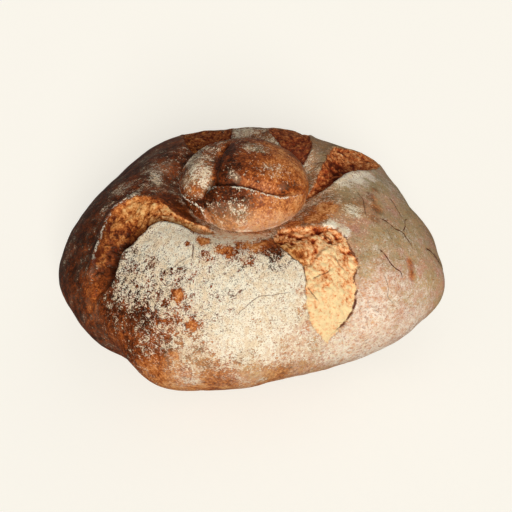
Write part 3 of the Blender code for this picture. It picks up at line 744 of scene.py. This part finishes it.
def buildRound():
    body, turn, drop = makeBall("loaf_crust", loaf["segments"], loaf["rings"])
    azimuth = spreadColumns(turn)
    shares, falls = np.array(loaf["ringPlan"]).T
    fall = np.radians(np.interp(drop / math.pi, shares, falls))
    shaped, plain, field = shapeRound(azimuth, fall)
    setPoints(body.data, shaped + np.array([*loaf["knotAxis"], 0.0]))
    flour, dust, bake = layOn(plain, onCrust, crustSpots, crustPatches)
    # a seamless map of the crust: round the loaf, and down it
    roundLength, downLength = loaf["skinMap"]
    around = roundLength * np.stack([np.cos(azimuth), np.sin(azimuth)], axis=1)
    skin = np.column_stack([around, downLength * fall])
    names = ("tone", "rim", "fresh", "rough", "gap", "ridges", "crack", "crackDepth")
    setFields(body.data, {
        **{name: field[name] for name in names}, "tear": field["tear"] / millimetre,
        "flour": flour, "dust": dust, "bake": bake,
        "shine": np.zeros(len(flour)), "skin": skin, "known": np.ones(len(flour)),
    })
    return body


def buildKnot():
    ball, turn, drop = makeBall("knot_ball", knot["segments"], knot["rings"])
    ways = np.stack([np.sin(drop) * np.cos(turn), np.sin(drop) * np.sin(turn), np.cos(drop)], axis=1)
    shaped, plain, marks = shapeKnot(ways)
    setPoints(ball.data, shaped + np.array([*loaf["knotAxis"], knot["height"]]))
    flour, dust, bake = layOn(plain, onKnot, knotSpots, knotPatches)
    # creases hold no flour or dust, and are darkened with painted shade
    lessFlour, lessDust, creaseShade = knot["creaseLook"]
    flour = flour - lessFlour * marks["crease"]
    dust = dust - lessDust * marks["crease"]
    bake = bake + creaseShade * marks["crease"]
    zero = np.zeros(len(flour))
    unused = ("fresh", "rough", "gap", "ridges", "crack", "crackDepth")
    setFields(ball.data, {
        **{name: zero for name in unused}, "tone": zero + 0.5, "rim": marks["white"],
        "tear": marks["edge"] / millimetre - crustLook["rimMiddle"],
        "flour": flour, "dust": dust, "bake": bake,
        "shine": smoothStep(knot["shineFrom"], 0.0, flour) * (1.0 - marks["flap"]),
        "skin": plain + np.array(knot["skinShift"]), "known": zero + 1.0,
    })
    return ball


def fuse(body, piece):
    # one closed solid; the seam's new points take their neighbours' values
    union = body.modifiers.new("fused", "BOOLEAN")
    union.operation, union.object, union.solver = "UNION", piece, "MANIFOLD"
    dependencies = bpy.context.evaluated_depsgraph_get()
    fused = bpy.data.meshes.new_from_object(body.evaluated_get(dependencies))
    body.modifiers.remove(union)
    body.data = fused
    bpy.data.objects.remove(piece)
    edges = np.empty(len(fused.edges) * 2, dtype=np.int32)
    fused.edges.foreach_get("vertices", edges)
    edges = np.vstack([edges.reshape(-1, 2), edges.reshape(-1, 2)[:, ::-1]])
    known = np.empty(len(fused.vertices))
    fused.attributes["known"].data.foreach_get("value", known)
    known = known > 0.999
    mostRounds = 6  # of values spreading across the seam's new points
    for _ in range(mostRounds):
        if known.all():
            break
        use = edges[known[edges[:, 1]] & ~known[edges[:, 0]]]
        share = np.bincount(use[:, 0], minlength=len(known))
        ready = share > 0
        for layer in fused.attributes:
            if layer.domain != "POINT" or layer.name in ("known", "position"):
                continue
            key, width = ("vector", 3) if layer.data_type == "FLOAT_VECTOR" else ("value", 1)
            if layer.data_type not in ("FLOAT", "FLOAT_VECTOR"):
                continue
            values = np.empty(len(known) * width)
            layer.data.foreach_get(key, values)
            values = values.reshape(-1, width)
            for column in range(width):
                summed = np.bincount(use[:, 0], values[use[:, 1], column], minlength=len(known))
                values[ready, column] = summed[ready] / share[ready]
            layer.data.foreach_set(key, values.ravel())
        known |= ready
    fused.attributes.remove(fused.attributes["known"])


def linear(hexColour):
    # sRGB hex to linear RGBA
    parts = [int(hexColour[i:i + 2], 16) / 255 for i in (1, 3, 5)]
    return (*(c / 12.92 if c <= 0.04045 else ((c + 0.055) / 1.055) ** 2.4 for c in parts), 1.0)


def addNode(tree, kind, inputs=None, take=None, stops=None, **settings):
    # adds a node with its settings, and its inputs set or linked; gives the output asked for
    node = tree.nodes.new("ShaderNode" + kind)
    for name, value in settings.items():
        setattr(node, name, value)
    if stops:
        ramp = node.color_ramp
        while len(ramp.elements) < len(stops):
            ramp.elements.new(0.5)
        for element, (position, colour) in zip(ramp.elements, stops):
            element.position, element.color = position, linear(colour)
    for name, value in (inputs or {}).items():
        if isinstance(name, int):
            socket = node.inputs[name]
        else:
            socket = next(s for s in node.inputs if s.name == name and s.enabled)
        if isinstance(value, bpy.types.NodeSocket):
            tree.links.new(value, socket)
        else:
            socket.default_value = value
    if take:
        return node.outputs[take]
    return next((s for s in node.outputs if s.enabled), None)


# Baked dough: a lean crust browned in the oven, matt to silky, with flour dusted on before baking
# and golden crumb in the tears. The eye sees a speckle of white on red-brown, and drier, paler
# crumb.
crustLook = {
    # size in mm, detail, roughness, distortion, and the map it lies on. Real flour grains are under
    # 0.2 mm; "speck" draws the clumps that the eye sees, about 2 mm across.
    "patterns": {
        "toast": (15.0, 3.0, 0.55, 0.0, "place"),
        "blotch": (4.5, 3.0, 0.60, 0.0, "place"),
        "grain": (1.5, 2.0, 0.65, 0.0, "place"),
        "speck": (1.1, 2.0, 0.70, 0.2, "skin"),
        "clump": (2.4, 3.0, 0.62, 0.3, "streaky"),
        "pinhole": (0.8, 1.0, 0.50, 0.3, "skin"),
        "smudge": (5.5, 3.0, 0.58, 0.2, "place"),
        "drift": (19.0, 2.0, 0.50, 0.0, "place"),
        "flake": (2.6, 3.0, 0.60, 0.5, "place"),
        "fibre": (1.3, 2.0, 0.60, 1.0, "streaky"),
    },
    "streak": (1.0, 1.0, 0.50),  # clumps and fibres lie longer down the loaf than across it
    "crustShades": ((0.0, "#EDB679"), (0.22, "#DC9252"), (0.42, "#B8642D"), (0.62, "#89411A"),
                    (0.82, "#5D2B10"), (1.0, "#331606")),
    "crumbShades": ((0.0, "#FDE0A8"), (0.22, "#FAC892"), (0.42, "#EA9A5C"), (0.60, "#C46C36"),
                    (0.80, "#923A1A"), (1.0, "#5C220E")),
    # crumb beside darkly baked crust, toasted golden brown
    "goldenShades": ((0.0, "#F6CE88"), (0.22, "#E6AA60"), (0.42, "#C67E3B"), (0.60, "#9A5522"),
                     (0.80, "#6C3412"), (1.0, "#3E1C0A")),
    "dustShades": ((0.40, "#AFA37A"), (0.50, "#C0A885"), (0.62, "#CD9B85")),
    "dustOnDark": "#B2957F",
    "filmWhite": "#FFF0DC",
    "flourWhite": "#FFF6DF",
    "flourShade": "#F2DCBA",
    "blisterColour": "#8A3A1C",
    "blisterSize": 3.2,        # mm between the small red-brown blisters
    "rimMiddle": 0.90,         # mm from a tear to the floured line on the crust's lip
    "rimHalfWidth": 0.32,
    "darkEdgeMiddle": 0.20,
    "darkEdgeHalfWidth": 0.75,
    # painted shade for the crumb's crevices and pits
    "creviceShadeColour": "#7C2E14",
    "crackColour": "#5A2410",
    # a dark edge colour: scorched crust, and in places painted shade along edges that overhang a
    # tear
    "darkEdgeColour": "#6A3014",
    # how far the patterns swing each value up and down
    "swings": {
        "mottle": {"speck": 0.12, "smudge": 0.15},
        "bake": {"toast": 0.36, "blotch": 0.42, "grain": 0.60},
        "dust": {"drift": 0.20, "smudge": 0.25, "grain": 0.20},
        "heavyDust": {"blotch": 0.40, "speck": 0.30},
        "flour": {"smudge": 0.50, "drift": 0.30},
        "thinFlour": {"smudge": 1.2, "speck": 0.8},
        "tone": {"blotch": 0.45, "flake": 0.45, "grain": 0.20},
        "gap": {"fibre": 0.5},
        "edge": {"grain": 2.0},
        "crack": {"grain": 1.2},
    },
    # the range taken of each value, and what it is turned into; 0 to 1 where that isn't given
    "spans": {
        "pale": (0.40, 0.18),
        "mottle": (0.49, 0.59, 0.0, 0.68),
        "blister": (0.34, 0.16, 0.0, 0.40),
        "dark": (0.55, 0.80, 0.0, 0.70),
        "dust": (0.0, 1.0, 0.0, 0.92),
        "pores": (0.36, 0.47, 0.38, 1.0),
        "pinker": (0.20, 0.55, 0.12, -0.08),
        "heavyDust": (0.87, 1.30, 0.0, 0.95),
        "level": (0.0, 1.0, -0.18, 0.18),
        "cover": (0.465, 0.535, 0.0, 0.93),
        "floured": (0.0, 0.10),
        "pinholes": (0.57, 0.65, 1.0, 0.20),
        "thinFlour": (0.40, 0.80),
        "fleck": (0.52, 0.62),
        "flecked": (0.0, 1.0, 0.50, 1.0),
        "gap": (0.78, 1.15),
        "torn": (-0.40, 0.45),
        "dashes": (0.42, 0.50),
        "crack": (1.5, 0.7),
        "broken": (0.34, 0.46, 0.50, 1.0),
        "roughness": (0.0, 1.0, 0.50, 0.95),
    },
    "mottleBake": 0.22,        # how much more baked the mottles look
    "driftShare": 0.55,        # of the larger pattern in the dust's shade
    "clumpShare": 0.40,        # of the clumps in the flour's speckle
    # the ridges' shift is painted light, the gaps' shift painted shade
    "toneShifts": (-0.20, 0.70, 0.36),  # of the crumb on its ridges, in gaps and in flecks
    "silky": -0.20,            # what shining skin adds to the roughness
    "crumbRoughness": 0.80,
    "relief": {"grain": 0.35, "cover": 0.30, "speck": 0.40, "blotch": 0.70, "crack": -0.20,
               "fleck": -0.50, "gap": -0.80},
    "reliefStrength": 0.75,
    "reliefHeight": 0.6,       # mm
    "reflection": {"IOR": 1.45, "Specular IOR Level": 0.12},  # dry and matt
}


def swung(tree, pattern, value, name):
    # the value, moved up and down by patterns about their middle
    for source, reach in crustLook["swings"][name].items():
        ends = {"To Min": -reach, "To Max": reach}
        moved = addNode(tree, "MapRange", {"Value": pattern[source], **ends}, clamp=False)
        value = addNode(tree, "Math", {0: value, 1: moved}, operation="ADD")
    return value


def bakedCrust():
    look = crustLook
    material = bpy.data.materials.new("baked_crust_floured")
    material.use_nodes = True
    tree = material.node_tree
    tree.nodes.clear()
    add = functools.partial(addNode, tree)
    ends = ("From Min", "From Max", "To Min", "To Max")
    span = {name: dict(zip(ends, values)) for name, values in look["spans"].items()}
    soft = {"interpolation_type": "SMOOTHSTEP"}
    blend = {"data_type": "RGBA"}

    skin = add("Attribute", take="Vector", attribute_name="skin")
    maps = {
        "place": add("TexCoord", take="Object"),
        "skin": skin,
        "streaky": add("Mapping", {"Vector": skin, "Scale": look["streak"]}),
    }
    mark = {}
    for name in ("flour", "dust", "bake", "tear", "tone", "rim", "fresh", "rough", "gap", "ridges",
                 "crack", "crackDepth", "shine"):
        mark[name] = add("Attribute", take="Fac", attribute_name=name)
    pattern = {}
    for name, (size, detail, rough, bend, chart) in look["patterns"].items():
        pattern[name] = add("TexNoise", {
            "Vector": maps[chart], "Scale": 1.0 / (size * millimetre), "Detail": detail,
            "Roughness": rough, "Distortion": bend})
    swing = functools.partial(swung, tree, pattern)

    # where the crust is pale, mottles of orange skin show through what lies on it
    pale = add("MapRange", {"Value": mark["bake"], **span["pale"]}, **soft)
    mottle = swing(pattern["flake"], "mottle")
    mottle = add("MapRange", {"Value": mottle, **span["mottle"]}, **soft)
    mottle = add("Math", {0: mottle, 1: pale}, operation="MULTIPLY")
    unmottled = add("Math", {0: mottle, 1: -1.0, 2: 1.0}, operation="MULTIPLY_ADD")

    # the browned dough itself, with small blisters
    bake = swing(mark["bake"], "bake")
    bake = add("Math", {0: mottle, 1: look["mottleBake"], 2: bake}, operation="MULTIPLY_ADD")
    crust = add("ValToRGB", {"Fac": bake}, stops=look["crustShades"])
    blister = add("TexVoronoi", {
        "Vector": maps["place"], "Scale": 1.0 / (look["blisterSize"] * millimetre)}, take="Distance")
    blister = add("MapRange", {"Value": blister, **span["blister"]}, **soft)
    crust = add("Mix", {"Factor": blister, "A": crust, "B": linear(look["blisterColour"])}, **blend)
    dark = add("MapRange", {"Value": mark["bake"], **span["dark"]}, **soft)

    # a thin film of dust over it, whiter where much flour lies and broken by the skin's pores
    dust = swing(mark["dust"], "dust")
    dust = add("MapRange", {"Value": dust, **span["dust"]})
    pores = add("MapRange", {"Value": pattern["speck"], **span["pores"]}, **soft)
    for share in (pores, unmottled):
        dust = add("Math", {0: dust, 1: share}, operation="MULTIPLY")
    dustColour = add("Mix", {
        "Factor": look["driftShare"], "A": pattern["smudge"], "B": pattern["drift"]})
    pinker = add("MapRange", {"Value": mark["bake"], **span["pinker"]})
    dustColour = add("Math", {0: dustColour, 1: pinker}, operation="ADD")
    dustColour = add("ValToRGB", {"Fac": dustColour}, stops=look["dustShades"])
    heavy = swing(mark["dust"], "heavyDust")
    heavy = add("MapRange", {"Value": heavy, **span["heavyDust"]}, **soft)
    for share, name in ((dark, "dustOnDark"), (heavy, "filmWhite")):
        dustColour = add("Mix", {"Factor": share, "A": dustColour, "B": linear(look[name])}, **blend)
    skinColour = add("Mix", {"Factor": dust, "A": crust, "B": dustColour}, **blend)

    # flour in clumps, with pinholes where it has fallen off
    level = swing(mark["flour"], "flour")
    level = add("MapRange", {"Value": level, **span["level"]}, clamp=False)
    speck = add("Mix", {"Factor": look["clumpShare"], "A": pattern["speck"], "B": pattern["clump"]})
    speck = add("Math", {0: speck, 1: level}, operation="ADD")
    cover = add("MapRange", {"Value": speck, **span["cover"]}, **soft)
    floured = add("MapRange", {"Value": mark["flour"], **span["floured"]}, **soft)
    pinholes = add("MapRange", {"Value": pattern["pinhole"], **span["pinholes"]}, **soft)
    for share in (floured, pinholes, unmottled):
        cover = add("Math", {0: cover, 1: share}, operation="MULTIPLY")
    thin = swing(pattern["grain"], "thinFlour")
    thin = add("MapRange", {"Value": thin, **span["thinFlour"]}, **soft)
    white = add("Mix", {
        "Factor": thin, "A": linear(look["flourWhite"]), "B": linear(look["flourShade"])}, **blend)
    skinColour = add("Mix", {"Factor": cover, "A": skinColour, "B": white}, **blend)

    # crumb: paler on its ridges (painted light), darker in its crevices and pits (painted shade),
    # and toasted in short flecks
    tone = swing(mark["tone"], "tone")
    fleck = add("MapRange", {"Value": pattern["fibre"], **span["fleck"]}, **soft)
    flecked = add("MapRange", {"Value": mark["rough"], **span["flecked"]})
    fleck = add("Math", {0: fleck, 1: flecked}, operation="MULTIPLY")
    for amount, shift in zip((mark["ridges"], mark["gap"], fleck), look["toneShifts"]):
        tone = add("Math", {0: amount, 1: shift, 2: tone}, operation="MULTIPLY_ADD")
    crumb = add("ValToRGB", {"Fac": tone}, stops=look["crumbShades"])
    golden = add("ValToRGB", {"Fac": tone}, stops=look["goldenShades"])
    crumb = add("Mix", {"Factor": dark, "A": crumb, "B": golden}, **blend)
    gap = swing(mark["gap"], "gap")
    gap = add("MapRange", {"Value": gap, **span["gap"]}, **soft)
    crumb = add("Mix", {"Factor": gap, "A": crumb, "B": linear(look["creviceShadeColour"])}, **blend)

    # the torn edge: ragged, here and there floured white, or dark: scorched, and in places painted
    # shade
    edge = swing(mark["tear"], "edge")
    torn = add("MapRange", {"Value": edge, **span["torn"]}, **soft)
    torn = add("Math", {0: torn, 1: mark["fresh"]}, operation="MULTIPLY")
    colour = add("Mix", {"Factor": torn, "A": skinColour, "B": crumb}, **blend)
    dashes = add("MapRange", {"Value": pattern["blotch"], **span["dashes"]}, **soft)
    dashes = add("Math", {0: dashes, 1: mark["rim"]}, operation="MULTIPLY")
    lip = add("Math", {0: edge, 1: -look["rimMiddle"], 2: look["rimHalfWidth"]}, operation="COMPARE")
    lip = add("Math", {0: lip, 1: dashes}, operation="MULTIPLY", use_clamp=True)
    near = add("Math", {
        0: edge, 1: -look["darkEdgeMiddle"], 2: look["darkEdgeHalfWidth"]}, operation="COMPARE")
    darkEdge = add("Math", {0: dashes, 1: -1.0}, operation="MULTIPLY", use_clamp=True)
    darkEdge = add("Math", {0: darkEdge, 1: near}, operation="MULTIPLY")

    # cracks: dark lines that the dough's skin split along, thicker and thinner
    aside = swing(mark["crack"], "crack")
    aside = add("Math", {0: aside}, operation="ABSOLUTE")
    crack = add("MapRange", {"Value": aside, **span["crack"]}, **soft)
    broken = add("MapRange", {"Value": pattern["blotch"], **span["broken"]}, **soft)
    for share in (broken, mark["crackDepth"]):
        crack = add("Math", {0: crack, 1: share}, operation="MULTIPLY")
    for share, name in ((lip, "flourWhite"), (darkEdge, "darkEdgeColour"), (crack, "crackColour")):
        colour = add("Mix", {"Factor": share, "A": colour, "B": linear(look[name])}, **blend)

    # flour is the roughest; bare skin and crumb are smoother
    roughness = add("MapRange", {"Value": cover, **span["roughness"]})
    roughness = add("Math", {
        0: mark["shine"], 1: look["silky"], 2: roughness}, operation="MULTIPLY_ADD")
    roughness = add("Mix", {"Factor": torn, "A": roughness, "B": look["crumbRoughness"]})

    heights = {**pattern, "cover": cover, "crack": crack, "fleck": fleck, "gap": gap}
    relief = 0.0
    for name, weight in look["relief"].items():
        relief = add("Math", {0: heights[name], 1: weight, 2: relief}, operation="MULTIPLY_ADD")
    bump = add("Bump", {
        "Height": relief, "Strength": look["reliefStrength"],
        "Distance": look["reliefHeight"] * millimetre})
    shader = add("BsdfPrincipled", {
        "Base Color": colour, "Roughness": roughness, "Normal": bump, **look["reflection"]})
    add("OutputMaterial", {"Surface": shader})
    return material


studio = {
    "viewHeight": 40.0,       # degrees, the camera's height above the horizon
    "viewTarget": (0.005, -0.0305, 0.0648),
    "viewDistance": 0.8,
    "pixelsPerMetre": 800 / 0.735 / 0.8,
    "frameWidth": 512,
    "sensorWidth": 36.0,      # mm
    "floorSize": 8.0,
    "floorHeight": -0.0002,   # just under the loaf's flat base
    "floorRoughness": 0.9,
    "floorColour": "#B0ADA6",
    "floorGlowColour": "#F7F3EA",
    "floorGlow": 0.715,       # an overlit backdrop: the loaf's shadow on it is nearly washed out
    "keyDirection": (0.12, -0.90, 0.44),
    "keyStrength": 3.0,
    "keyColour": "#FFFDF8",
    "keySoftness": 24.0,      # degrees
    "fillDirection": (0.2, 0.75, 0.60),
    "fillStrength": 0.30,
    "fillColour": "#F2F4EE",
    "fillSoftness": 60.0,
    "roomStrength": 0.18,
    "roomColour": "#FFFEFA",
}


def addSun(name):
    light = bpy.data.lights.new(name, "SUN")
    light.energy = studio[name + "Strength"]
    light.angle = math.radians(studio[name + "Softness"])
    light.color = linear(studio[name + "Colour"])[:3]
    lamp = bpy.data.objects.new(name, light)
    bpy.context.scene.collection.objects.link(lamp)
    lamp.rotation_euler = Vector(studio[name + "Direction"]).to_track_quat("Z", "Y").to_euler()


def buildStudio():
    floorPlace = (0.0, 0.0, studio["floorHeight"])
    bpy.ops.mesh.primitive_plane_add(size=studio["floorSize"], location=floorPlace)
    floor = bpy.context.object
    floor.name = "floor"
    paper = bpy.data.materials.new("matt_backdrop_paper")
    paper.use_nodes = True
    shader = paper.node_tree.nodes["Principled BSDF"]
    shader.inputs["Base Color"].default_value = linear(studio["floorColour"])
    shader.inputs["Roughness"].default_value = studio["floorRoughness"]
    shader.inputs["Emission Color"].default_value = linear(studio["floorGlowColour"])
    shader.inputs["Emission Strength"].default_value = studio["floorGlow"]
    # the backdrop throws no light on the crust
    floor.visible_diffuse, floor.visible_glossy = False, False
    floor.data.materials.append(paper)
    addSun("key")
    addSun("fill")
    world = bpy.data.worlds.new("room")
    world.use_nodes = True
    background = world.node_tree.nodes["Background"]
    background.inputs["Color"].default_value = linear(studio["roomColour"])
    background.inputs["Strength"].default_value = studio["roomStrength"]
    bpy.context.scene.world = world
    bpy.context.scene.view_settings.view_transform = "Standard"
    rise = math.radians(studio["viewHeight"])
    eye = bpy.data.cameras.new("camera")
    eye.sensor_width = studio["sensorWidth"]
    eye.lens = studio["sensorWidth"] * studio["pixelsPerMetre"] * studio["viewDistance"]
    eye.lens /= studio["frameWidth"]
    camera = bpy.data.objects.new("camera", eye)
    bpy.context.scene.collection.objects.link(camera)
    away = Vector((0.0, -math.cos(rise), math.sin(rise))) * studio["viewDistance"]
    camera.location = Vector(studio["viewTarget"]) + away
    camera.rotation_euler = (math.pi / 2 - rise, 0.0, 0.0)
    bpy.context.scene.camera = camera


crustPiece = buildRound()
print("round shaped:", len(crustPiece.data.vertices), "points")
fuse(crustPiece, buildKnot())
crustPiece.data.materials.clear()
crustPiece.data.materials.append(bakedCrust())
crustPiece.data.shade_smooth()
print("loaf fused:", sum(len(face.vertices) - 2 for face in crustPiece.data.polygons), "triangles")
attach(crustPiece, "root")
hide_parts("loaf")

buildStudio()
print("studio set")
